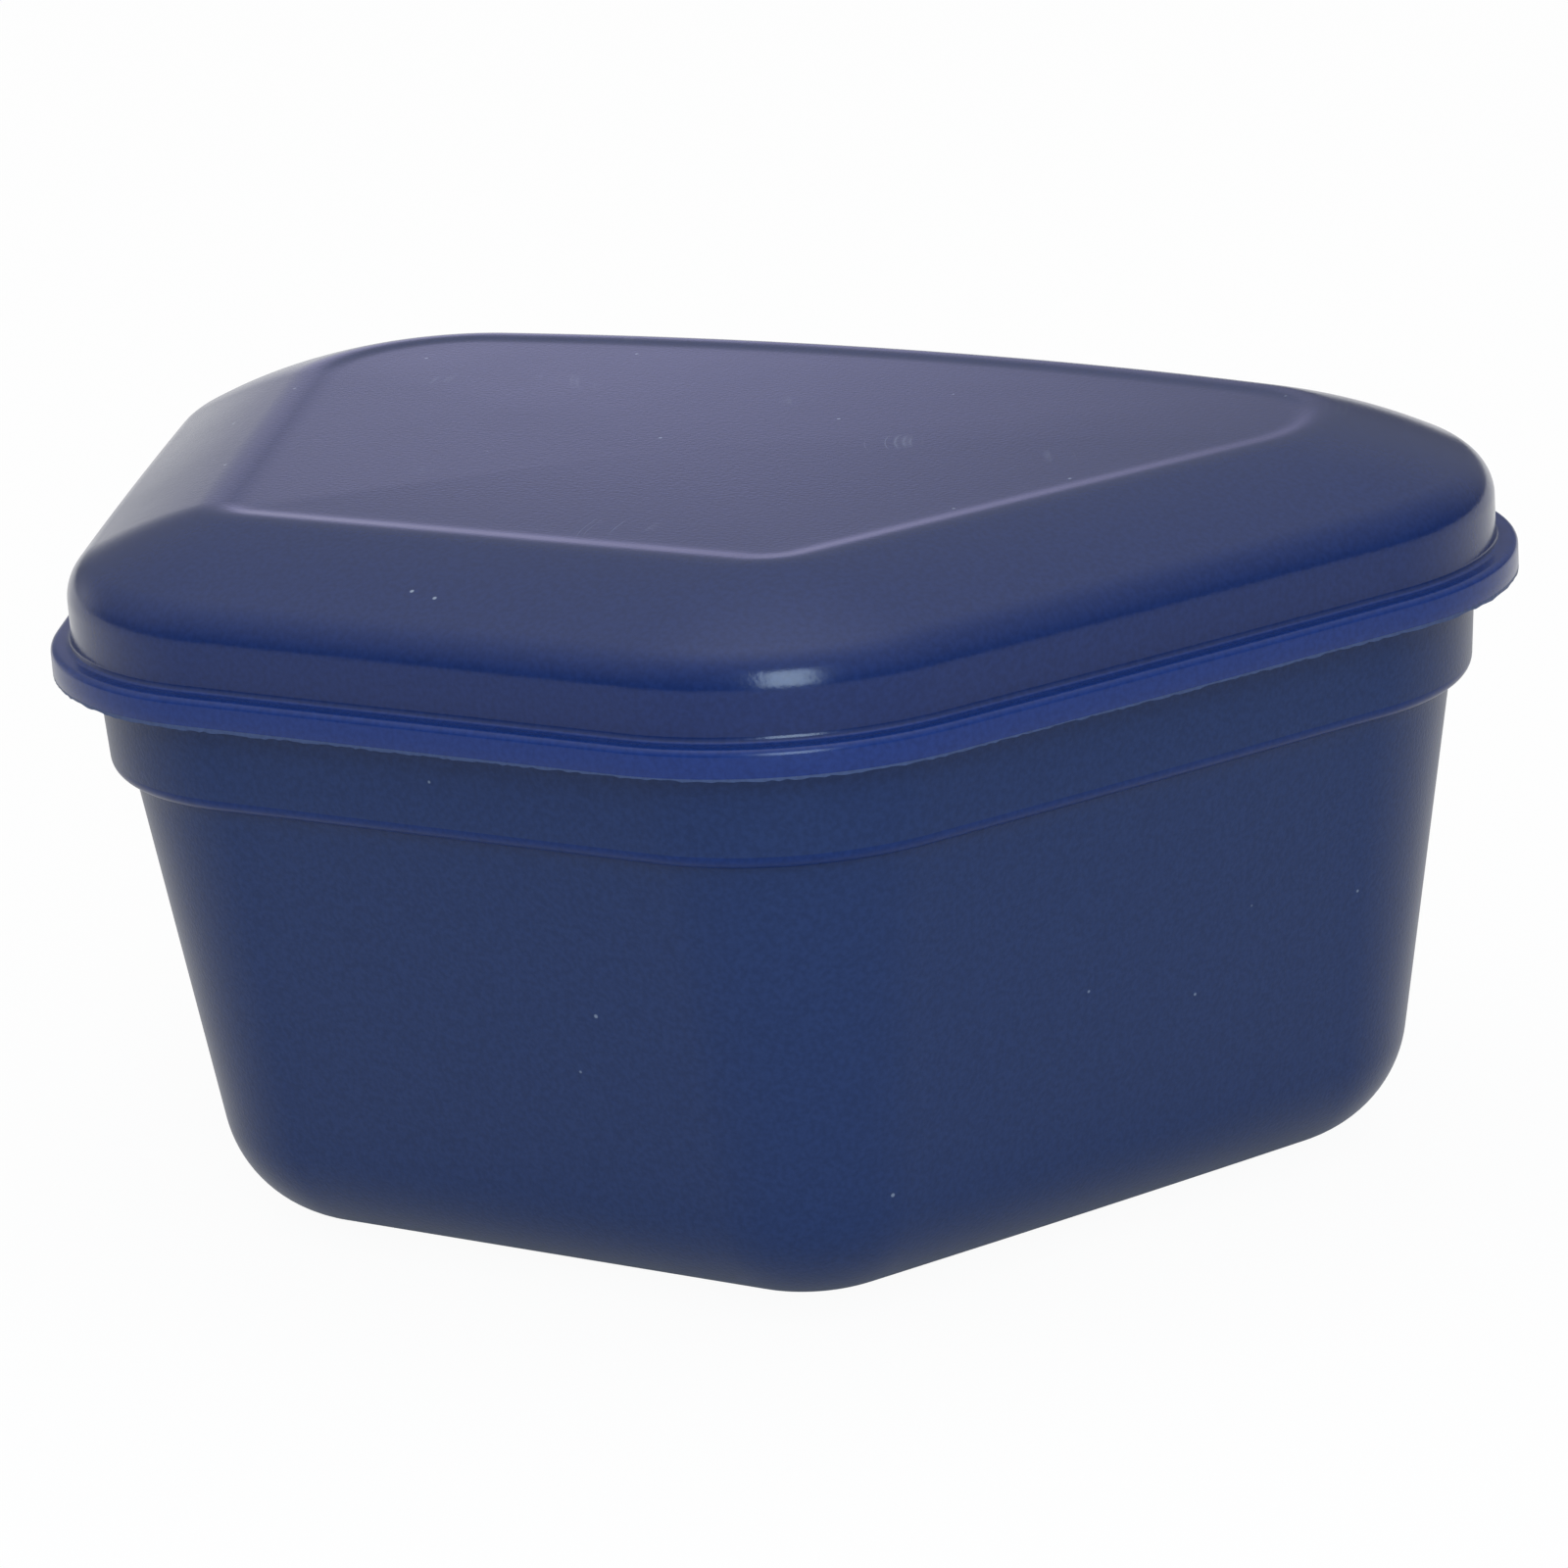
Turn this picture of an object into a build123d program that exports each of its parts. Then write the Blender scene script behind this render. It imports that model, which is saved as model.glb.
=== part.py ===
from build123d import *
import math
import os

# Denture case: a tapered tub, a loose lid and a slotted basket that hangs inside the tub.
# Every outline is one rounded trapezoid, narrow at the front (-Y) and wide at the back (+Y),
# set in by some distance. Z = 0 is the surface that the case stands on.

# Trapezoid of the lid's skirt, before its corners are rounded
front_half_width = 28.0
back_half_width = 57.6
chord_depth = 63.8
back_bow = 9.5
side_bow = 0.5
corner_radius = 19.3

# Heights
skirt_bottom_height = 38.7
skirt_height = 1.8
dome_wall_height = 4.7
dome_height = 10.3
band_height = 6.8
basket_floor_height = 7.6

# Lid
skirt_thickness = 1.1
ledge_width = 1.4
ledge_thickness = 0.95
lid_wall = 1.4
panel_inset = 11.8
panel_setback = 1.0
panel_front_radius = 4.5
panel_back_radius = 7.4
panel_depth = 0.2
panel_edge_run = 1.6
shoulder_radius = 3.1
skirt_edge_radius = 0.4
ledge_root_radius = 0.45

# Base
draft = 8.6
band_draft = 3.4
band_inset = 3.2
step_width = 1.35
base_wall = 1.3
floor_thickness = 1.6
floor_radius = 8.6
band_edge_radius = 1.0
rim_thickness = 0.9
rim_edge_radius = 0.3

# Basket
basket_wall = 1.0
basket_flange_thickness = 1.0
basket_floor_thickness = 1.2
basket_floor_radius = 5.0
floor_slot_width = 2.4
floor_slot_length = 11.0
floor_slot_pitch = 7.0
floor_slot_rows = 3
floor_slot_row_pitch = 14.5
floor_slot_margin = 3.0
wall_slot_width = 2.4
wall_slot_length = 10.0
wall_slot_pitch = 8.5
wall_slots = 4
wall_slot_height = 21.5
tab_width = 14.0
tab_height = 9.5
tab_thickness = 1.6
tab_corner_radius = 3.5

# Clearances
skirt_clearance = 0.3
lid_seat_gap = 0.25
basket_flange_clearance = 0.35
basket_seat_gap = 0.25
basket_wall_clearance = 0.7

# Worked out from the sizes above
overall_depth = chord_depth + back_bow
front_y = -overall_depth / 2
back_y = front_y + chord_depth
crown_y = back_y + back_bow
back_arc_radius = (back_half_width**2 + back_bow**2) / (2 * back_bow)
side_lean = (back_half_width - front_half_width) / chord_depth
slope = math.tan(math.radians(draft))
band_slope = math.tan(math.radians(band_draft))
step_height = skirt_bottom_height - band_height
ledge_height = skirt_bottom_height + skirt_height
wall_top_height = ledge_height + dome_wall_height
crest_height = skirt_bottom_height + dome_height
rim_top_height = ledge_height - ledge_thickness - lid_seat_gap
rim_bottom_height = rim_top_height - rim_thickness
rim_inset = skirt_thickness + skirt_clearance
body_inset = band_inset + step_width
floor_inset = body_inset + step_height * slope


def half_width_at(y, inset):
    """Half the width of the sharp-cornered outline at a place along the case, set in from its sides."""
    return front_half_width + (y - front_y) * side_lean - inset * math.hypot(1, side_lean)


def plan(height, inset=0.0, setback=0.0, front_radius=None, back_radius=None):
    """The case's outline at a height, set in all round and moved back. Its corner radii can be given."""
    front_edge_y = front_y + inset
    front_x = half_width_at(front_edge_y, inset)
    # The side's line meets the back's arc, which keeps its centre and loses the inset from its radius
    arc_radius = back_arc_radius - inset
    centre_y = crown_y - back_arc_radius
    centre_x = half_width_at(centre_y, inset)
    lean = 1 + side_lean**2
    reach = (math.sqrt(arc_radius**2 * lean - centre_x**2) - side_lean * centre_x) / lean
    corner_y = centre_y + reach
    back_x = half_width_at(corner_y, inset)
    bow = side_bow * ((corner_y - front_edge_y) / chord_depth) ** 2
    with BuildSketch(Plane((0, setback, height)), mode=Mode.PRIVATE) as outline:
        with BuildLine():
            Line((-front_x, front_edge_y), (front_x, front_edge_y))
            SagittaArc((front_x, front_edge_y), (back_x, corner_y), -bow)
            ThreePointArc((back_x, corner_y), (0, crown_y - inset), (-back_x, corner_y))
            SagittaArc((-back_x, corner_y), (-front_x, front_edge_y), -bow)
        make_face()
        fillet(outline.vertices().sort_by(Axis.Y)[:2], front_radius or corner_radius - inset)
        fillet(outline.vertices().sort_by(Axis.Y)[-2:], back_radius or corner_radius - inset)
    return outline.sketch


def panel_plan(height, run=0.0):
    """The edge of the lid's top panel, set further in by the run of its slope."""
    return plan(height, panel_inset + run, panel_setback, panel_front_radius - run, panel_back_radius - run)


def body_inset_at(height):
    """How far the tapered wall of the base lies inside the skirt, at a height up to the step."""
    return body_inset + (step_height - height) * slope


def band_inset_at(height):
    """How far the band of the base lies inside the skirt, at a height above the step."""
    return band_inset - (height - step_height) * band_slope


def edges_at(part, height):
    """The edges of a part that lie level at a height."""
    return part.edges().filter_by_position(Axis.Z, height, height)


# Base: a tapered tub, a band with a rim over it, and a ledge inside where the two meet
inner_ledge_height = step_height + base_wall

with BuildPart() as base_cavity:
    loft([plan(floor_thickness, body_inset_at(floor_thickness) + base_wall),
          plan(inner_ledge_height, body_inset_at(inner_ledge_height) + base_wall)], ruled=True)
    fillet(edges_at(base_cavity, floor_thickness), floor_radius - base_wall)

with BuildPart() as band:
    loft([plan(step_height, band_inset),
          plan(rim_top_height, band_inset_at(rim_top_height))], ruled=True)
    fillet(edges_at(band, step_height), band_edge_radius)

with BuildPart() as base:
    loft([plan(0, floor_inset), plan(step_height, body_inset)], ruled=True)
    fillet(edges_at(base, 0), floor_radius)
    add(band.part)
    extrude(plan(rim_bottom_height, rim_inset), amount=rim_thickness)
    fillet(edges_at(base, rim_top_height), rim_edge_radius)
    add(base_cavity.part, mode=Mode.SUBTRACT)
    loft([plan(inner_ledge_height, band_inset_at(inner_ledge_height) + base_wall),
          plan(rim_top_height, band_inset_at(rim_top_height) + base_wall)], ruled=True, mode=Mode.SUBTRACT)
base.part.label = "base"


# Lid: a ledge and a skirt round a hollow dome, whose top panel is slightly recessed
shoulder_angle = math.atan2(crest_height - wall_top_height, panel_inset - ledge_width)
shoulder_drop = lid_wall / math.cos(shoulder_angle)
ceiling_height = crest_height - panel_depth - lid_wall
inner_wall_inset = ledge_width + lid_wall
inner_wall_top = wall_top_height + lid_wall * math.tan(shoulder_angle) - shoulder_drop
ceiling_inset = ledge_width + (ceiling_height - wall_top_height + shoulder_drop) / math.tan(shoulder_angle)
seat_height = ledge_height - ledge_thickness

with BuildPart() as dome_cavity:
    extrude(plan(seat_height, inner_wall_inset), amount=inner_wall_top - seat_height)
    loft([plan(inner_wall_top, inner_wall_inset),
          plan(ceiling_height, ceiling_inset, panel_setback)], ruled=True)
    fillet(edges_at(dome_cavity, inner_wall_top), shoulder_radius - lid_wall)

with BuildPart() as dome:
    extrude(plan(ledge_height, ledge_width), amount=dome_wall_height)
    loft([plan(wall_top_height, ledge_width), panel_plan(crest_height)], ruled=True)
    fillet(edges_at(dome, wall_top_height), shoulder_radius)
    loft([panel_plan(crest_height), panel_plan(crest_height - panel_depth, panel_edge_run)],
         ruled=True, mode=Mode.SUBTRACT)

with BuildPart() as lid:
    extrude(plan(skirt_bottom_height), amount=skirt_height)
    fillet(edges_at(lid, ledge_height), skirt_edge_radius)
    extrude(plan(skirt_bottom_height, skirt_thickness), amount=seat_height - skirt_bottom_height,
            mode=Mode.SUBTRACT)
    add(dome.part)
    fillet(edges_at(lid, ledge_height).sort_by(SortBy.LENGTH), ledge_root_radius)
    add(dome_cavity.part, mode=Mode.SUBTRACT)
lid.part.label = "lid"


# Basket: a slotted tray that hangs by its flange on the ledge inside the base, with two finger tabs
flange_bottom = inner_ledge_height + basket_seat_gap
flange_top = flange_bottom + basket_flange_thickness
flange_inset = band_inset_at(inner_ledge_height) + base_wall + basket_flange_clearance
tray_inset_offset = base_wall + basket_wall_clearance
tray_top_inset = body_inset_at(flange_top) + tray_inset_offset
tray_floor_inset = body_inset_at(basket_floor_height) + tray_inset_offset
tray_floor_top = basket_floor_height + basket_floor_thickness
tray_floor_top_inset = body_inset_at(tray_floor_top) + tray_inset_offset + basket_wall
flat_inset = tray_floor_top_inset + basket_floor_radius - basket_wall + floor_slot_margin


def floor_slot_places():
    """Centres of the floor slots: as many in each row as its narrow end has room for."""
    middle_y = (front_y + back_y) / 2
    places = []
    for row in range(floor_slot_rows):
        y = middle_y + (row - (floor_slot_rows - 1) / 2) * floor_slot_row_pitch
        room = half_width_at(y - floor_slot_length / 2, flat_inset)
        beside_centre = int(room / floor_slot_pitch)
        places += [(column * floor_slot_pitch, y) for column in range(-beside_centre, beside_centre + 1)]
    return places


with BuildPart() as tray_cavity:
    loft([plan(tray_floor_top, tray_floor_top_inset),
          plan(flange_top, tray_top_inset + basket_wall)], ruled=True)
    fillet(edges_at(tray_cavity, tray_floor_top), basket_floor_radius - basket_wall)

with BuildPart() as tabs:
    extrude(plan(flange_bottom, tray_top_inset + basket_wall - tab_thickness),
            amount=basket_flange_thickness + tab_height)
    extrude(plan(flange_bottom, tray_top_inset + basket_wall),
            amount=basket_flange_thickness + tab_height, mode=Mode.SUBTRACT)
    with BuildSketch(Plane.YZ) as tab_face:
        with Locations((0, flange_bottom)):
            Rectangle(tab_width, basket_flange_thickness + tab_height, align=(Align.CENTER, Align.MIN))
        fillet(tab_face.vertices().sort_by(Axis.Y)[-2:], tab_corner_radius)
    extrude(amount=back_half_width, both=True, mode=Mode.INTERSECT)

with BuildPart() as strainer_basket:
    loft([plan(basket_floor_height, tray_floor_inset), plan(flange_top, tray_top_inset)], ruled=True)
    fillet(edges_at(strainer_basket, basket_floor_height), basket_floor_radius)
    extrude(plan(flange_bottom, flange_inset), amount=basket_flange_thickness)
    add(tray_cavity.part, mode=Mode.SUBTRACT)
    with BuildSketch(Plane.XY.offset(basket_floor_height)):
        with Locations(*floor_slot_places()):
            SlotOverall(floor_slot_length, floor_slot_width, rotation=90)
    extrude(amount=basket_floor_thickness, mode=Mode.SUBTRACT)
    for wall_plane in (Plane.XZ, Plane.YZ):
        with BuildSketch(wall_plane):
            with Locations((0, wall_slot_height)):
                with GridLocations(wall_slot_pitch, 1, wall_slots, 1):
                    SlotOverall(wall_slot_length, wall_slot_width, rotation=90)
        extrude(amount=back_half_width, both=True, mode=Mode.SUBTRACT)
    add(tabs.part)
strainer_basket.part.label = "strainer_basket"


os.makedirs("parts", exist_ok=True)
export_step(base.part, "parts/base.step")
export_step(lid.part, "parts/lid.step")
export_step(strainer_basket.part, "parts/strainer_basket.step")
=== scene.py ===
import math

import bpy
import numpy as np
from mathutils import Matrix, Vector


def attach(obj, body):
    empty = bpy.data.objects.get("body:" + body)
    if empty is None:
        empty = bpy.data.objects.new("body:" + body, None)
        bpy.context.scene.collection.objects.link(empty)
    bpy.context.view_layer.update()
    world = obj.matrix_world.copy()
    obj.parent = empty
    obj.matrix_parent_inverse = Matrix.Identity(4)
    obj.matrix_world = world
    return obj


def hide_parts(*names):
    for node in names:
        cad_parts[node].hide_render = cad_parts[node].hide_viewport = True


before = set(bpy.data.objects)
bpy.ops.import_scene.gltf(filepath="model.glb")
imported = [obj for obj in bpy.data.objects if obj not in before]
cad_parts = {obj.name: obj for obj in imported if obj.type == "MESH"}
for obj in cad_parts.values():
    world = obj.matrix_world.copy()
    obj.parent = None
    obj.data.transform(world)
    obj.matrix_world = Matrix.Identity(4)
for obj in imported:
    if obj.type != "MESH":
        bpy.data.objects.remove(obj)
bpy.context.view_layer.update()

MM = 0.001

# Sizes in millimetres and angles in degrees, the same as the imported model's
FRONT_HALF_WIDTH = 28.0
BACK_HALF_WIDTH = 57.6
CHORD_DEPTH = 63.8
BACK_BOW = 9.5
SIDE_BOW = 0.5
CORNER_RADIUS = 19.3
SKIRT_BOTTOM = 38.7
SKIRT_HEIGHT = 1.8
DOME_WALL_HEIGHT = 4.7
DOME_HEIGHT = 10.3
BAND_HEIGHT = 6.8
SKIRT_THICKNESS = 1.1
LEDGE_WIDTH = 1.4
LEDGE_THICKNESS = 0.95
LID_WALL = 1.4
PANEL_FRONT_RADIUS = 4.5
SHOULDER_RADIUS = 3.1
DRAFT = 8.6
BAND_DRAFT = 3.4
BAND_INSET = 3.2
STEP_WIDTH = 1.35
BAND_EDGE_RADIUS = 1.0
BASE_WALL = 1.3
FLOOR_THICKNESS = 1.6
FLOOR_RADIUS = 8.6
RIM_THICKNESS = 0.9
SKIRT_CLEARANCE = 0.3
LID_SEAT_GAP = 0.25

# The top panel and the arched shoulder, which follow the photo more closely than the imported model's
PANEL_INSET = 11.0
PANEL_SETBACK = 0.7
PANEL_BACK_RADIUS = 10.0
PANEL_DEPTH = 0.15
PANEL_EDGE_RUN = 1.7
PANEL_EDGE_RADIUS = 10.0
PANEL_RUN_IN = 0.9
PANEL_CROWN = 0.15
CREST_RADIUS = 6.0
CREST_CUT = 0.06
KNEE_RUN = 4.4
KNEE_ANGLE = 14.3
KNEE_RADIUS = 30.0

# Small roundings
SKIRT_FOOT_RADIUS = 0.08
CRISP_RADIUS = 0.15
FINE_RADIUS = 0.2
STEP_ROOT_RADIUS = 0.25
SOFT_RADIUS = 0.3
LEDGE_RADIUS = 0.45
CEILING_RADIUS = 1.0

# How far short of the underside's rounding the inner floor starts
FLOOR_RUN_IN = 0.3

# The ragged fin of plastic that the mould leaves along the skirt's lower edge
FLASH_THICKNESS = 0.07
FLASH_INSET = 0.02
FLASH_OVERLAP = 0.05
FLASH_DROP = (0.02, 0.3)
FLASH_MEAN = 0.35
FLASH_WAVINESS = 0.4
FLASH_RAGGEDNESS = 0.45
FLASH_WAVES = (2, 3, 5, 9)
FLASH_SEED = 7

# Worked out from them
FRONT_Y = -(CHORD_DEPTH + BACK_BOW) / 2
BACK_Y = FRONT_Y + CHORD_DEPTH
STEP_Z = SKIRT_BOTTOM - BAND_HEIGHT
LEDGE_Z = SKIRT_BOTTOM + SKIRT_HEIGHT
WALL_TOP_Z = LEDGE_Z + DOME_WALL_HEIGHT
CREST_Z = SKIRT_BOTTOM + DOME_HEIGHT
SEAT_Z = LEDGE_Z - LEDGE_THICKNESS
RIM_TOP_Z = SEAT_Z - LID_SEAT_GAP
SLOPE = math.tan(math.radians(DRAFT))
BAND_SLOPE = math.tan(math.radians(BAND_DRAFT))
BODY_INSET = BAND_INSET + STEP_WIDTH

# How finely the meshes are divided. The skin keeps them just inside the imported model's box.
POINTS_PER_SIDE = 90
POINTS_PER_CORNER = 48
CLOSING_RINGS = 16
LONGEST_LID_STEP = 1.2
LONGEST_BASE_STEP = 1.5
SHARP_ANGLE = 40
SKIN = 0.015
STRAIGHT_BOW = 0.0005
LEDGE_MARGIN = 0.1


# ---------------------------------------------------------------- outline and profiles

def bowed_side(start, end, bow):
    """Centre and radius of the shallow arc that bulges outwards between two corners."""
    start, end = np.array(start), np.array(end)
    chord = end - start
    length = np.linalg.norm(chord)
    inward = np.array([-chord[1], chord[0]]) / length
    radius = (length**2 / 4 + bow**2) / (2 * bow)
    return (start + end) / 2 + inward * (radius - bow), radius


def corner_centre(side_a, side_b, radius, near):
    """Centre of the corner arc that touches two sides from inside, close to their sharp corner."""
    (centre_a, radius_a), (centre_b, radius_b) = side_a, side_b
    reach_a, reach_b = radius_a - radius, radius_b - radius
    between = centre_b - centre_a
    distance = np.linalg.norm(between)
    along = (distance**2 + reach_a**2 - reach_b**2) / (2 * distance)
    across = math.sqrt(max(reach_a**2 - along**2, 0))
    unit = between / distance
    side = np.array([-unit[1], unit[0]])
    options = [centre_a + unit * along + side * across * sign for sign in (1, -1)]
    return min(options, key=lambda c: np.linalg.norm(c - np.array(near)))


def arc_points(centre, radius, start, end, count):
    """Points of an arc from one place's direction to another's, without its last point."""
    first = math.atan2(*(start - centre)[::-1])
    turn = (math.atan2(*(end - centre)[::-1]) - first + math.pi) % (2 * math.pi) - math.pi
    angles = first + turn * np.arange(count) / count
    return centre + radius * np.c_[np.cos(angles), np.sin(angles)]


def outline(inset=0.0, front_radius=None, back_radius=None, side_bow=SIDE_BOW):
    """The case's outline, set in all round, counterclockwise from the front's left end."""
    front_radius = CORNER_RADIUS - inset if front_radius is None else front_radius
    back_radius = CORNER_RADIUS - inset if back_radius is None else back_radius
    corners = [(-FRONT_HALF_WIDTH, FRONT_Y), (FRONT_HALF_WIDTH, FRONT_Y),
               (BACK_HALF_WIDTH, BACK_Y), (-BACK_HALF_WIDTH, BACK_Y)]
    bows = [STRAIGHT_BOW, side_bow, BACK_BOW, side_bow]
    radii = [front_radius, front_radius, back_radius, back_radius]
    sides = []
    for i in range(4):
        centre, radius = bowed_side(corners[i], corners[(i + 1) % 4], bows[i])
        sides.append((centre, radius - inset))
    centres = [corner_centre(sides[i - 1], sides[i], radii[i], corners[i]) for i in range(4)]
    points = []
    for i in range(4):
        after = (i + 1) % 4
        centre, radius = sides[i]
        next_centre = sides[after][0]
        # A side meets a corner in line with both of their centres, so these points lie beyond that place
        start = centre + (centres[i] - centre) * 2
        end = centre + (centres[after] - centre) * 2
        points.append(arc_points(centre, radius, start, end, POINTS_PER_SIDE))
        out = centres[after] + (centres[after] - next_centre)
        points.append(arc_points(centres[after], radii[after], end, out, POINTS_PER_CORNER))
    return np.vstack(points)


def rounded(corners):
    """A profile of (inset, height) points. A corner with a radius and a step count becomes an arc."""
    out = []
    for i, corner in enumerate(corners):
        if len(corner) == 2:
            out.append(np.array(corner, float))
            continue
        here = np.array(corner[:2], float)
        radius, steps = corner[2:]
        before = np.array(corners[i - 1][:2], float) - here
        after = np.array(corners[i + 1][:2], float) - here
        before /= np.linalg.norm(before)
        after /= np.linalg.norm(after)
        half = math.acos(max(-1, min(1, before @ after))) / 2
        bisector = (before + after) / np.linalg.norm(before + after)
        centre = here + bisector * radius / math.sin(half)
        first = here + before * radius / math.tan(half)
        last = here + after * radius / math.tan(half)
        start = math.atan2(*(first - centre)[::-1])
        end = math.atan2(*(last - centre)[::-1])
        turn = (end - start + math.pi) % (2 * math.pi) - math.pi
        for k in range(steps + 1):
            angle = start + turn * k / steps
            out.append(centre + radius * np.array([math.cos(angle), math.sin(angle)]))
    return out


def subdivided(profile, longest):
    """The profile with its long runs cut into steps no longer than a given length."""
    out = [profile[0]]
    for a, b in zip(profile[:-1], profile[1:]):
        pieces = max(1, math.ceil(np.linalg.norm(b - a) / longest))
        out += [a + (b - a) * k / pieces for k in range(1, pieces + 1)]
    return out


def lid_profile():
    """From the edge of the top panel outwards, down to the skirt's foot and back up inside."""
    angle = math.atan2(CREST_Z - WALL_TOP_Z, PANEL_INSET - LEDGE_WIDTH)
    knee_z = CREST_Z - KNEE_RUN * math.tan(math.radians(KNEE_ANGLE))
    drop = LID_WALL / math.cos(angle)
    panel_z = CREST_Z - PANEL_DEPTH
    ceiling_z = panel_z - LID_WALL
    inner_inset = LEDGE_WIDTH + LID_WALL
    inner_top = WALL_TOP_Z + LID_WALL * math.tan(angle) - drop
    ceiling_inset = LEDGE_WIDTH + (ceiling_z - WALL_TOP_Z + drop) / math.tan(angle)
    return subdivided(rounded([
        (PANEL_INSET + PANEL_EDGE_RUN + PANEL_RUN_IN, panel_z),
        (PANEL_INSET + PANEL_EDGE_RUN, panel_z, PANEL_EDGE_RADIUS, 6),
        (PANEL_INSET, CREST_Z + CREST_CUT, CREST_RADIUS, 12),
        (PANEL_INSET - KNEE_RUN, knee_z, KNEE_RADIUS, 12),
        (LEDGE_WIDTH, WALL_TOP_Z, SHOULDER_RADIUS, 18),
        (LEDGE_WIDTH, LEDGE_Z, LEDGE_RADIUS, 6),
        (0, LEDGE_Z, LEDGE_RADIUS, 6),
        (0, SKIRT_BOTTOM, SKIRT_FOOT_RADIUS, 2),
        (SKIRT_THICKNESS, SKIRT_BOTTOM, CRISP_RADIUS, 3),
        (SKIRT_THICKNESS, SEAT_Z, FINE_RADIUS, 3),
        (inner_inset, SEAT_Z, SOFT_RADIUS, 3),
        (inner_inset, inner_top, SHOULDER_RADIUS - LID_WALL, 8),
        (ceiling_inset, ceiling_z, CEILING_RADIUS, 3),
        (ceiling_inset + CEILING_RADIUS, ceiling_z),
    ]), LONGEST_LID_STEP)


def base_profile():
    """From the inner floor outwards, up to the rim and down the outside to the underside."""
    def body(z):
        return BODY_INSET + (STEP_Z - z) * SLOPE

    def band(z):
        return BAND_INSET - (z - STEP_Z) * BAND_SLOPE

    inner_ledge = STEP_Z + BASE_WALL
    inner_floor = body(FLOOR_THICKNESS) + BASE_WALL
    rim_inset = SKIRT_THICKNESS + SKIRT_CLEARANCE
    rim_bottom = RIM_TOP_Z - RIM_THICKNESS
    return subdivided(rounded([
        (inner_floor + FLOOR_RADIUS - FLOOR_RUN_IN, FLOOR_THICKNESS),
        (inner_floor, FLOOR_THICKNESS, FLOOR_RADIUS - BASE_WALL, 16),
        (body(inner_ledge) + BASE_WALL, inner_ledge, SOFT_RADIUS, 3),
        (band(inner_ledge) + BASE_WALL, inner_ledge, FINE_RADIUS, 3),
        (band(RIM_TOP_Z) + BASE_WALL, RIM_TOP_Z, SOFT_RADIUS, 4),
        (rim_inset, RIM_TOP_Z, SOFT_RADIUS, 4),
        (rim_inset, rim_bottom, CRISP_RADIUS, 3),
        (band(rim_bottom), rim_bottom, FINE_RADIUS, 3),
        (BAND_INSET, STEP_Z, BAND_EDGE_RADIUS, 10),
        (BODY_INSET, STEP_Z, STEP_ROOT_RADIUS, 4),
        (body(0), 0, FLOOR_RADIUS, 24),
        (body(0) + FLOOR_RADIUS, 0),
    ]), LONGEST_BASE_STEP)


# ---------------------------------------------------------------- lid, base and flash

def ring(inset, z):
    """One closed ring of a piece, at an inset and a height."""
    points = outline(inset + SKIN)
    return np.c_[points, np.full(len(points), z)]


def panel_outline(run):
    """The outline of the lid's top panel, set in by a run, a little behind the case's own."""
    points = outline(PANEL_INSET + run, PANEL_FRONT_RADIUS - run, PANEL_BACK_RADIUS - run, STRAIGHT_BOW)
    return points + np.array([0, PANEL_SETBACK])


def lid_ring(inset, z):
    """A ring of the lid. Over the shoulder, the case's outline turns into that of the panel."""
    if inset <= LEDGE_WIDTH or z < LEDGE_Z + LEDGE_MARGIN:
        return ring(inset, z)
    if inset < PANEL_INSET:
        share = (inset - LEDGE_WIDTH) / (PANEL_INSET - LEDGE_WIDTH)
        points = outline(LEDGE_WIDTH + SKIN) * (1 - share) + panel_outline(0) * share
    else:
        points = panel_outline(inset - PANEL_INSET)
    return np.c_[points, np.full(len(points), z)]


def closing_rings(edge, crown):
    """Rings that fill the space inside an edge, rising towards its middle by a crown."""
    middle = edge.mean(axis=0)
    rings = []
    for share in np.linspace(1, 0, CLOSING_RINGS + 1)[1:-1]:
        inner = middle + (edge - middle) * share
        inner[:, 2] += crown * (1 - share**2)
        rings.append(inner)
    return rings, middle + np.array([0, 0, crown])


def ring_faces(count, first, second):
    """The faces between two rings of a mesh, which are given by their numbers."""
    a, b = first * count, second * count
    return [(a + k, b + k, b + (k + 1) % count, a + (k + 1) % count) for k in range(count)]


def add_mesh(name, points, faces):
    """A new object from points in millimetres."""
    mesh = bpy.data.meshes.new(name)
    mesh.from_pydata((np.vstack(points) * MM).tolist(), [], faces)
    mesh.update()
    obj = bpy.data.objects.new(name, mesh)
    bpy.context.scene.collection.objects.link(obj)
    return obj


def shell(name, rings, crown=0.0):
    """A closed shell through its rings, with both ends filled in, the first with a crown."""
    first_fill, first_middle = closing_rings(rings[0], crown)
    last_fill, last_middle = closing_rings(rings[-1], 0.0)
    rings = first_fill[::-1] + rings + last_fill
    count = len(rings[0])
    faces = []
    for r in range(len(rings) - 1):
        faces += ring_faces(count, r, r + 1)
    last = (len(rings) - 1) * count
    middle = len(rings) * count
    for k in range(count):
        n = (k + 1) % count
        faces.append((k, n, middle))
        faces.append((last + n, last + k, middle + 1))
    obj = add_mesh(name, rings + [first_middle[None], last_middle[None]], faces)
    obj.data.shade_smooth()
    obj.data.set_sharp_from_angle(angle=math.radians(SHARP_ANGLE))
    return obj


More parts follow.
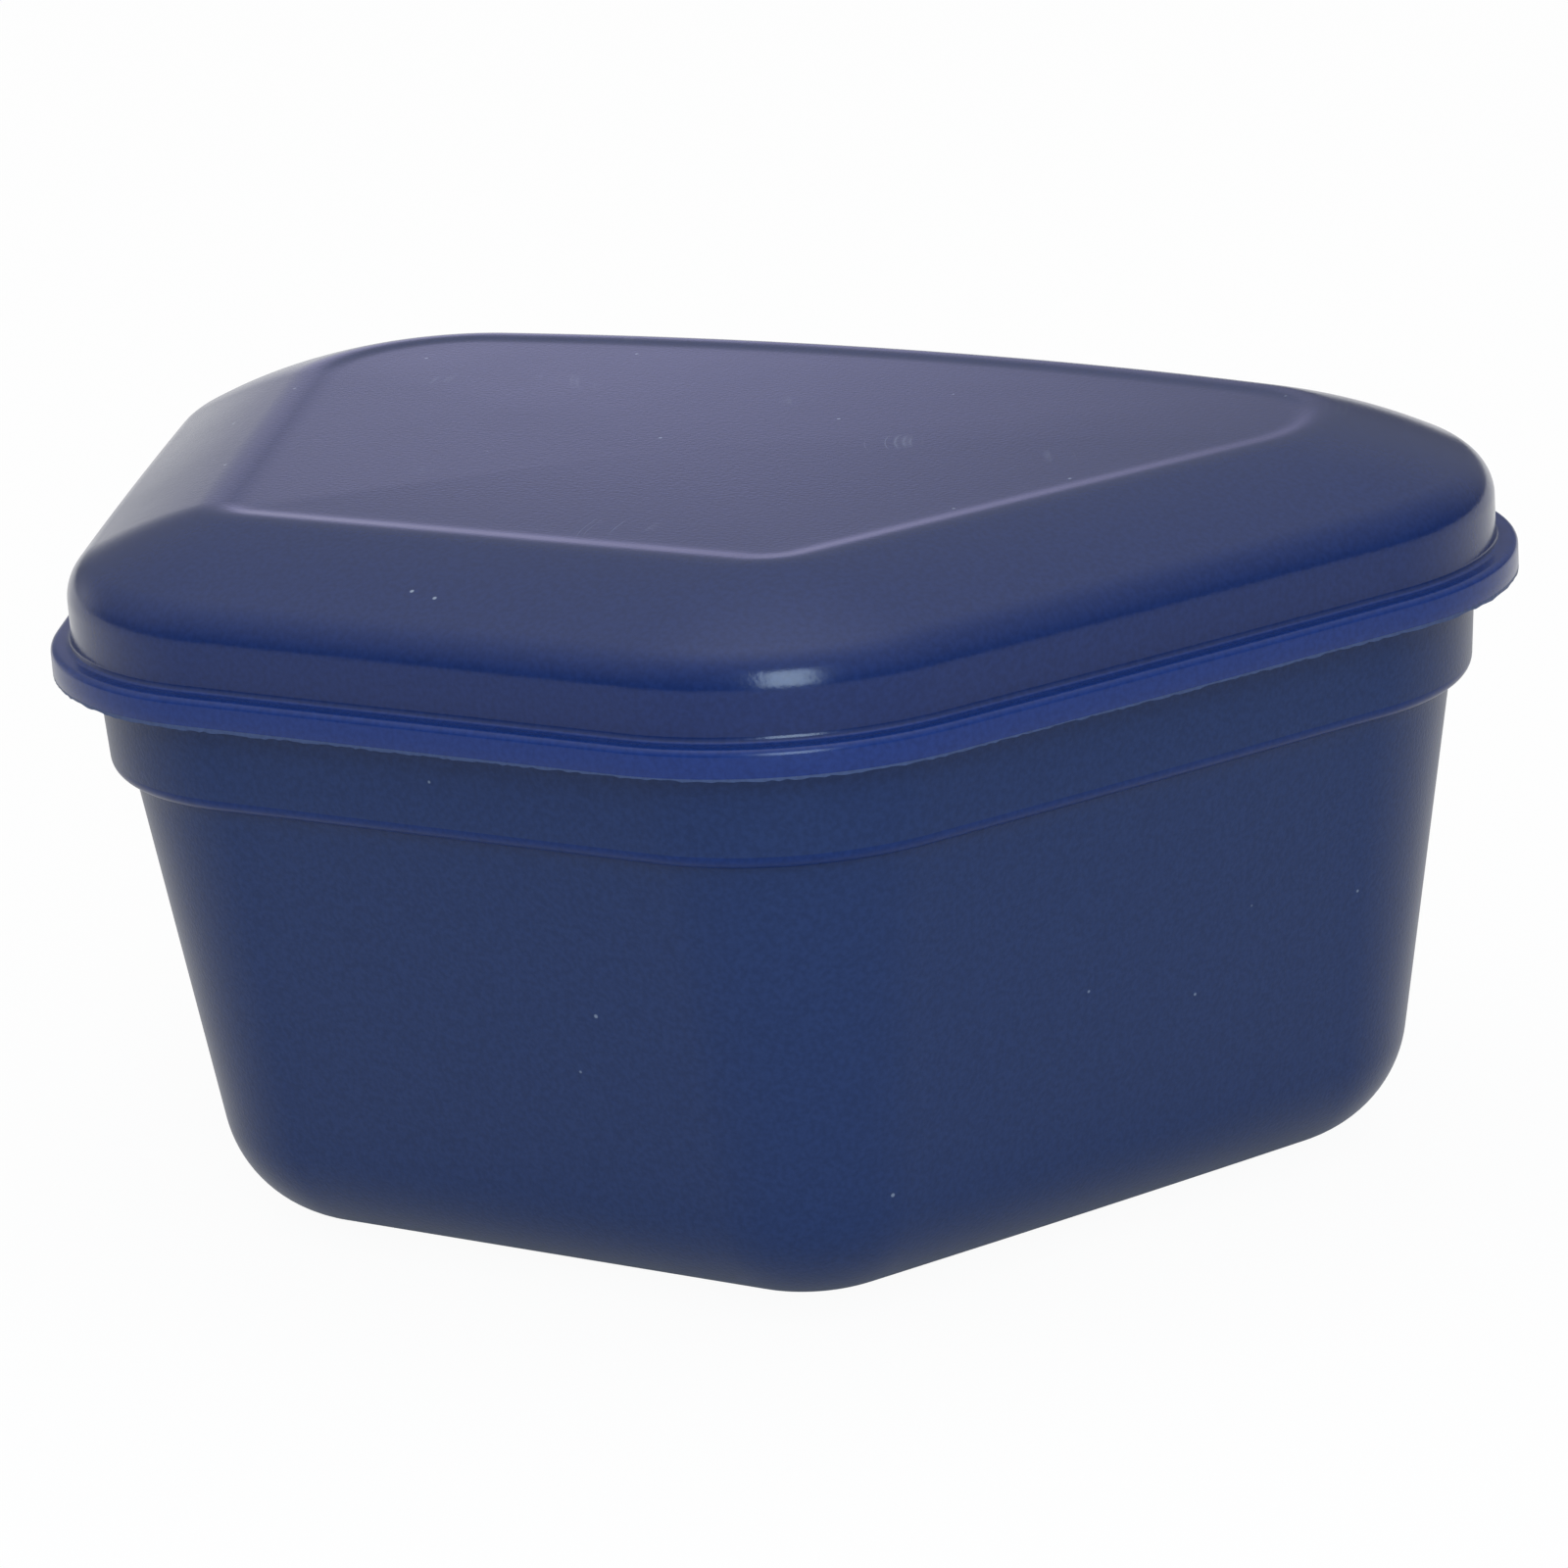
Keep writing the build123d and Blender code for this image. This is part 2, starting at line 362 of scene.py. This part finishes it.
def make_flash():
    """A closed thin strip under the skirt, whose lower edge is ragged."""
    outer = outline(FLASH_INSET)
    inner = outline(FLASH_INSET + FLASH_THICKNESS)
    count = len(outer)
    chance = np.random.default_rng(FLASH_SEED)
    rough = chance.random(count)
    waves = sum(np.sin(2 * math.pi * (turns * np.arange(count) / count + chance.random()))
                for turns in FLASH_WAVES) / len(FLASH_WAVES)
    share = FLASH_MEAN + FLASH_WAVINESS * waves + FLASH_RAGGEDNESS * (rough - 0.5)
    low, high = FLASH_DROP
    bottom = SKIRT_BOTTOM - (low + (high - low) * np.clip(share, 0, 1))
    top = np.full(count, SKIRT_BOTTOM + FLASH_OVERLAP)
    rings = [np.c_[outer, top], np.c_[outer, bottom], np.c_[inner, bottom], np.c_[inner, top]]
    faces = []
    for r in range(4):
        faces += ring_faces(count, r, (r + 1) % 4)
    return add_mesh("flash", rings, faces)


lid = shell("lid_shell", [lid_ring(inset, z) for inset, z in lid_profile()], PANEL_CROWN)
base = shell("base_shell", [ring(inset, z) for inset, z in base_profile()])
flash = make_flash()


# ---------------------------------------------------------------- nodes

class Tree:
    """A node tree, with a short way to add each kind of node that repeats."""

    def __init__(self, tree):
        self.nodes, self.links = tree.nodes, tree.links

    def feed(self, socket, value):
        """Link a socket to another node's output, or set it to a plain value."""
        if isinstance(value, bpy.types.NodeSocket):
            self.links.new(value, socket)
        else:
            socket.default_value = value

    def add(self, kind, operation, first, second):
        """A node that works one thing out from two others."""
        node = self.nodes.new(kind)
        node.operation = operation
        self.feed(node.inputs[0], first)
        self.feed(node.inputs[1], second)
        return node

    def maths(self, operation, first, second):
        return self.add("ShaderNodeMath", operation, first, second).outputs[0]

    def along(self, vector, direction):
        """How far a vector reaches in a direction."""
        return self.add("ShaderNodeVectorMath", "DOT_PRODUCT", vector, direction).outputs["Value"]

    def noise(self, where, size, detail, shift=0.0):
        """Noise with features of a size in millimetres. Another shift gives another pattern."""
        moved = self.add("ShaderNodeVectorMath", "ADD", where, (shift, shift, shift))
        texture = self.nodes.new("ShaderNodeTexNoise")
        self.feed(texture.inputs["Scale"], 1 / (size * MM))
        self.feed(texture.inputs["Detail"], detail)
        self.feed(texture.inputs["Vector"], moved.outputs[0])
        return texture.outputs["Fac"]

    def spread(self, value, from_min, from_max, to_min, to_max):
        """A value moved from one range to another, and held inside it."""
        node = self.nodes.new("ShaderNodeMapRange")
        for socket, number in zip(node.inputs, (value, from_min, from_max, to_min, to_max)):
            self.feed(socket, number)
        return node.outputs["Result"]

    def tinted(self, amount, below, above):
        """A colour over another one, by an amount."""
        mix = self.nodes.new("ShaderNodeMix")
        mix.data_type = "RGBA"
        self.feed(mix.inputs["Factor"], amount)
        self.feed(mix.inputs[6], below)
        self.feed(mix.inputs[7], above)
        return mix.outputs[2]


# ---------------------------------------------------------------- plastics

# Sizes are in millimetres. The ranges and the width of a scuff are levels of noise, from 0 to 1.
HAZE_ROUGHNESS = 0.55
PATCH_SIZE = 11
PATCH_ROUGHNESS = 0.04
MOTTLE = 0.1
MOTTLE_LIFT = 0.002
MOTTLE_SIZE = 0.35
MOTTLE_RANGE = (0.35, 0.65)
DUST_SPACING = 4.2
DUST_RADIUS = 0.16
DUST_CORE = 0.6
DUST_COLOUR = (0.22, 0.26, 0.34, 1)
SCUFF_WIDTH = 0.012
SCUFF_DIRECTION = 25.0
SCUFF_SPACING = 2.2
SCUFF_BEND = 9.0
SCUFF_BEND_SIZE = 16
SCUFF_PATCH_SIZE = 8
SCUFF_PATCH_RANGE = (0.7, 0.78)
SCUFF_HEIGHTS = (CREST_Z - 0.5, CREST_Z - 0.4)
LID_BLUE = (0.0028, 0.0147, 0.079)
BASE_BLUE = (0.0066, 0.0215, 0.081)
SKIRT_BLUE = (0.0048, 0.0215, 0.118)
# Painted light: a brighter blue for the rounded lower edge of the base's band, where it catches the
# light
EDGE_PAINTED_LIGHT_BLUE = (0.0056, 0.0205, 0.095)
# Painted light: the flash is paler than the skirt's plastic, where its thin fin catches the light
FLASH_PAINTED_LIGHT_BLUE = (0.027, 0.048, 0.122)
# How high the painted light on the band's lower edge reaches, and how far below its step it starts
EDGE_PAINTED_LIGHT_HEIGHT = 1.1
EDGE_MARGIN = 0.05


def new_material(name):
    """A material with its shader and its tree."""
    material = bpy.data.materials.new(name)
    material.use_nodes = True
    return material, material.node_tree.nodes["Principled BSDF"], Tree(material.node_tree)


def grain_normal(tree, where, size, depth):
    """The fine grain that a spark-eroded mould leaves."""
    bump = tree.nodes.new("ShaderNodeBump")
    tree.feed(bump.inputs["Strength"], 1)
    tree.feed(bump.inputs["Distance"], depth * MM)
    tree.feed(bump.inputs["Height"], tree.noise(where, size, detail=3))
    return bump.outputs["Normal"]


def mottled(tree, where, colour):
    """A colour that varies a little from spot to spot."""
    light = (*(c * (1 + MOTTLE) + MOTTLE_LIFT for c in colour), 1)
    dark = (*(c * (1 - MOTTLE) for c in colour), 1)
    spots = tree.noise(where, MOTTLE_SIZE, detail=3, shift=5.0)
    return tree.tinted(tree.spread(spots, *MOTTLE_RANGE, 0, 1), dark, light)


def dusty(tree, where, shade, amount):
    """A shade with pale specks on it, one at most in each cell."""
    cells = tree.nodes.new("ShaderNodeTexVoronoi")
    tree.feed(cells.inputs["Scale"], 1 / (DUST_SPACING * MM))
    tree.feed(cells.inputs["Vector"], where)
    radius = DUST_RADIUS / DUST_SPACING
    specks = tree.spread(cells.outputs["Distance"], radius * DUST_CORE, radius, amount, 0)
    return tree.tinted(specks, shade, DUST_COLOUR)


def scuffed(tree, where, shade, amount):
    """A shade with groups of short, bent, pale hairlines on the lid's top."""
    turn = math.radians(SCUFF_DIRECTION)
    across = tree.along(where, (math.cos(turn), math.sin(turn), 0))
    bend = tree.spread(tree.noise(where, SCUFF_BEND_SIZE, detail=0, shift=6.0), 0, 1, 0, SCUFF_BEND * MM)
    hairs = tree.nodes.new("ShaderNodeTexNoise")
    hairs.noise_dimensions = "1D"
    tree.feed(hairs.inputs["Scale"], 1 / (SCUFF_SPACING * MM))
    tree.feed(hairs.inputs["Detail"], 1)
    tree.feed(hairs.inputs["W"], tree.maths("ADD", across, bend))
    wander = hairs.outputs["Fac"]
    line = tree.maths("MULTIPLY", tree.spread(wander, 0.5, 0.5 + SCUFF_WIDTH, 1, 0),
                      tree.spread(wander, 0.5 - SCUFF_WIDTH, 0.5, 0, 1))
    places = tree.noise(where, SCUFF_PATCH_SIZE, detail=0, shift=4.0)
    patches = tree.spread(places, *SCUFF_PATCH_RANGE, 0, amount)
    height = tree.along(where, (0, 0, 1))
    on_top = tree.spread(height, *(z * MM for z in SCUFF_HEIGHTS), 0, 1)
    marks = tree.maths("MULTIPLY", tree.maths("MULTIPLY", line, patches), on_top)
    return tree.tinted(marks, shade, DUST_COLOUR)


def moulded_plastic(name, colour, roughness, specular, grain_size, grain_depth, haze=0.0, dust=0.0,
                    scuffs=0.0):
    """Moulded polypropylene with a fine grain and, where they are asked for, dust and scuffs."""
    material, shader, tree = new_material(name)
    where = tree.nodes.new("ShaderNodeTexCoord").outputs["Object"]
    patches = tree.noise(where, PATCH_SIZE, detail=4)
    shade = mottled(tree, where, colour)
    if dust:
        shade = dusty(tree, where, shade, dust)
    if scuffs:
        shade = scuffed(tree, where, shade, scuffs)
    tree.feed(shader.inputs["Specular IOR Level"], specular)
    tree.feed(shader.inputs["Coat Weight"], haze)
    tree.feed(shader.inputs["Coat Roughness"], HAZE_ROUGHNESS)
    tree.feed(shader.inputs["Roughness"],
              tree.spread(patches, 0, 1, roughness - PATCH_ROUGHNESS, roughness + PATCH_ROUGHNESS))
    tree.feed(shader.inputs["Normal"], grain_normal(tree, where, grain_size, grain_depth))
    tree.feed(shader.inputs["Base Color"], shade)
    return material


grained = moulded_plastic("navy_grained", BASE_BLUE, roughness=0.34, specular=0.2,
                          grain_size=0.25, grain_depth=0.02, dust=0.6)
satin = moulded_plastic("navy_satin", LID_BLUE, roughness=0.18, specular=0.27,
                        grain_size=0.3, grain_depth=0.01, haze=0.08, dust=0.9, scuffs=0.25)
smooth = moulded_plastic("blue_smooth", SKIRT_BLUE, roughness=0.24, specular=0.25,
                         grain_size=0.5, grain_depth=0.001)
# Painted light: the flash's colour is paler than its plastic, for the light that the thin fin catches
flash_painted_light = moulded_plastic("blue_flash_painted_light", FLASH_PAINTED_LIGHT_BLUE, roughness=0.45, specular=0.3,
                       grain_size=0.3, grain_depth=0.002)
# Painted light: a brighter blue strip on the band's rounded lower edge, where it catches the light
edge_painted_light = moulded_plastic("navy_edge_painted_light", EDGE_PAINTED_LIGHT_BLUE, roughness=0.3, specular=0.12,
                           grain_size=0.5, grain_depth=0.002)

# The lid is satin down to its ledge, and smooth from there on
lid.data.materials.append(satin)
lid.data.materials.append(smooth)
for face in lid.data.polygons:
    on_skirt = face.center.z < (LEDGE_Z + LEDGE_MARGIN) * MM
    face.material_index = 1 if on_skirt else 0

# The base is grained. A strip outside along the lower edge of its band is painted a brighter blue:
# painted light, where this rounded edge catches the light
base.data.materials.append(grained)
base.data.materials.append(edge_painted_light)
for face in base.data.polygons:
    faces_out = face.normal.x * face.center.x + face.normal.y * face.center.y > 0
    on_edge = (STEP_Z - EDGE_MARGIN) * MM < face.center.z < (STEP_Z + EDGE_PAINTED_LIGHT_HEIGHT) * MM
    face.material_index = 1 if faces_out and on_edge else 0

flash.data.materials.append(flash_painted_light)
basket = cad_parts["strainer_basket"]
basket.data.materials.clear()
basket.data.materials.append(satin)

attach(lid, "lid")
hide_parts("lid")
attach(flash, "lid")
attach(base, "base")
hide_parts("base")


# ---------------------------------------------------------------- floor

# In metres, but for the reach of the contact shadow in reflections, which is in millimetres
FLOOR_SIZE = 6
FLOOR_Z = -0.0002
FLOOR_GREY = (0.72, 0.72, 0.72, 1)
FLOOR_GLOW = 0.95
CONTACT_REACH = 15


def make_floor():
    """A pale floor that glows white to the camera and in reflections, and still takes the shadow."""
    bpy.ops.mesh.primitive_plane_add(size=FLOOR_SIZE, location=(0, 0, FLOOR_Z))
    floor = bpy.context.object
    floor.name = "floor"
    material, shader, tree = new_material("floor_white")
    tree.feed(shader.inputs["Base Color"], FLOOR_GREY)
    tree.feed(shader.inputs["Roughness"], 0.9)
    tree.feed(shader.inputs["Specular IOR Level"], 0.0)
    glow = tree.nodes.new("ShaderNodeEmission")
    tree.feed(glow.inputs["Strength"], 1.0)
    occlusion = tree.nodes.new("ShaderNodeAmbientOcclusion")
    occlusion.samples = 4
    tree.feed(occlusion.inputs["Distance"], CONTACT_REACH * MM)
    path = tree.nodes.new("ShaderNodeLightPath").outputs
    reflected = tree.maths("MULTIPLY", path["Is Glossy Ray"], occlusion.outputs["AO"])
    seen = tree.maths("MAXIMUM", path["Is Camera Ray"], reflected)
    seen = tree.maths("MAXIMUM", seen, path["Is Transmission Ray"])
    mix = tree.nodes.new("ShaderNodeMixShader")
    tree.feed(mix.inputs["Fac"], tree.maths("MULTIPLY", seen, FLOOR_GLOW))
    tree.feed(mix.inputs[1], shader.outputs[0])
    tree.feed(mix.inputs[2], glow.outputs[0])
    tree.feed(tree.nodes["Material Output"].inputs["Surface"], mix.outputs[0])
    floor.data.materials.append(material)


# ---------------------------------------------------------------- studio lights

# A big soft light overhead fades towards the horizon, with a stronger one at its middle
DOME_BRIGHTNESS = 0.9
DOME_FALLOFF = 0.85
ZENITH_BRIGHTNESS = 1.3
ZENITH_FALLOFF = 7

# Softer lights near the horizon. Each has an azimuth from the front towards the right, an elevation,
# a sharpness and a brightness. The light behind the case is bluish, and the others are white.
LOW_LIGHTS = [
    (90, 30, 8, 0.22),
    (167, 10, 14, 0.14),
    (185, 0, 60, 0.16),
    (222, -2, 75, 0.93),
    (258, 2, 30, 0.7),
    (300, 30, 8, 0.38),
]
BACK_LIGHT = (213, 8, 125, 0.56)
BACK_TINT = (0.9, 0.84, 1.5, 1)
WHITE = (1, 1, 1, 1)

# A softbox at the front right, in metres and watts
SOFTBOX_PLACE = (0.333, -0.458, 0.245)
SOFTBOX_TARGET = (0, 0, 0.04)
SOFTBOX_SIZE = (0.2, 0.34)
SOFTBOX_POWER = 2.5
SOFTBOX_COLOUR = (0.66, 0.84, 1)


def low_light(tree, direction, azimuth, elevation, sharpness, brightness):
    """Strength of a light near the horizon, which fades all round its middle."""
    turn, rise = math.radians(azimuth), math.radians(elevation)
    towards = (math.sin(turn) * math.cos(rise), -math.cos(turn) * math.cos(rise), math.sin(rise))
    off_middle = tree.maths("SUBTRACT", tree.along(direction, towards), 1)
    fade = tree.maths("POWER", math.e, tree.maths("MULTIPLY", off_middle, sharpness))
    return tree.maths("MULTIPLY", fade, brightness)


def make_world():
    """The overhead light and the low ones, added up in the world's strength."""
    world = bpy.data.worlds.new("studio")
    bpy.context.scene.world = world
    world.use_nodes = True
    tree = Tree(world.node_tree)
    background = tree.nodes["Background"]
    direction = tree.nodes.new("ShaderNodeTexCoord").outputs["Generated"]
    height = tree.maths("MAXIMUM", tree.along(direction, (0, 0, 1)), 0)
    dome = tree.maths("MULTIPLY", tree.maths("POWER", height, DOME_FALLOFF), DOME_BRIGHTNESS)
    zenith = tree.maths("MULTIPLY", tree.maths("POWER", height, ZENITH_FALLOFF), ZENITH_BRIGHTNESS)
    total = tree.maths("ADD", dome, zenith)
    for light in LOW_LIGHTS:
        total = tree.maths("ADD", total, low_light(tree, direction, *light))
    back = low_light(tree, direction, *BACK_LIGHT)
    total = tree.maths("ADD", total, back)
    back_share = tree.maths("DIVIDE", back, tree.maths("MAXIMUM", total, 0.001))
    tree.feed(background.inputs["Color"], tree.tinted(back_share, WHITE, BACK_TINT))
    tree.feed(background.inputs["Strength"], total)


def make_softbox():
    data = bpy.data.lights.new("softbox", "AREA")
    data.color = SOFTBOX_COLOUR
    data.shape = "RECTANGLE"
    data.size, data.size_y = SOFTBOX_SIZE
    data.energy = SOFTBOX_POWER
    light = bpy.data.objects.new("softbox", data)
    light.location = SOFTBOX_PLACE
    light.rotation_mode = "QUATERNION"
    light.rotation_quaternion = (Vector(SOFTBOX_TARGET) - Vector(SOFTBOX_PLACE)).to_track_quat("-Z", "Y")
    light.visible_camera = False
    bpy.context.scene.collection.objects.link(light)


make_floor()
make_world()
make_softbox()


# ---------------------------------------------------------------- camera

AZIMUTH = 32.345
ELEVATION = 17.159
ROLL = -4.153
DISTANCE_MM = 376.95
TARGET_MM = (0, -3.16, 26.85)
LENS_MM = 131.286
SENSOR_MM = 36
SHIFT_X = 0.0615
SHIFT_Y = -0.004
NEAREST, FURTHEST = 0.01, 20


def make_camera():
    """The photograph's camera. Its azimuth runs from the front towards the right."""
    data = bpy.data.cameras.new("camera")
    camera = bpy.data.objects.new("camera", data)
    bpy.context.scene.collection.objects.link(camera)
    azimuth, elevation, roll = (math.radians(a) for a in (AZIMUTH, ELEVATION, ROLL))
    back = Vector((math.sin(azimuth) * math.cos(elevation), -math.cos(azimuth) * math.cos(elevation),
                   math.sin(elevation)))
    right = Vector((math.cos(azimuth), math.sin(azimuth), 0))
    up = back.cross(right)
    right_rolled = right * math.cos(roll) + up * math.sin(roll)
    up_rolled = up * math.cos(roll) - right * math.sin(roll)
    camera.rotation_mode = "QUATERNION"
    camera.rotation_quaternion = Matrix((right_rolled, up_rolled, back)).transposed().to_quaternion()
    camera.location = Vector(TARGET_MM) * MM + back * DISTANCE_MM * MM
    data.sensor_width = SENSOR_MM
    data.lens = LENS_MM
    data.shift_x, data.shift_y = SHIFT_X, SHIFT_Y
    data.clip_start, data.clip_end = NEAREST, FURTHEST
    bpy.context.scene.camera = camera


make_camera()
bpy.context.scene.view_settings.view_transform = "Standard"
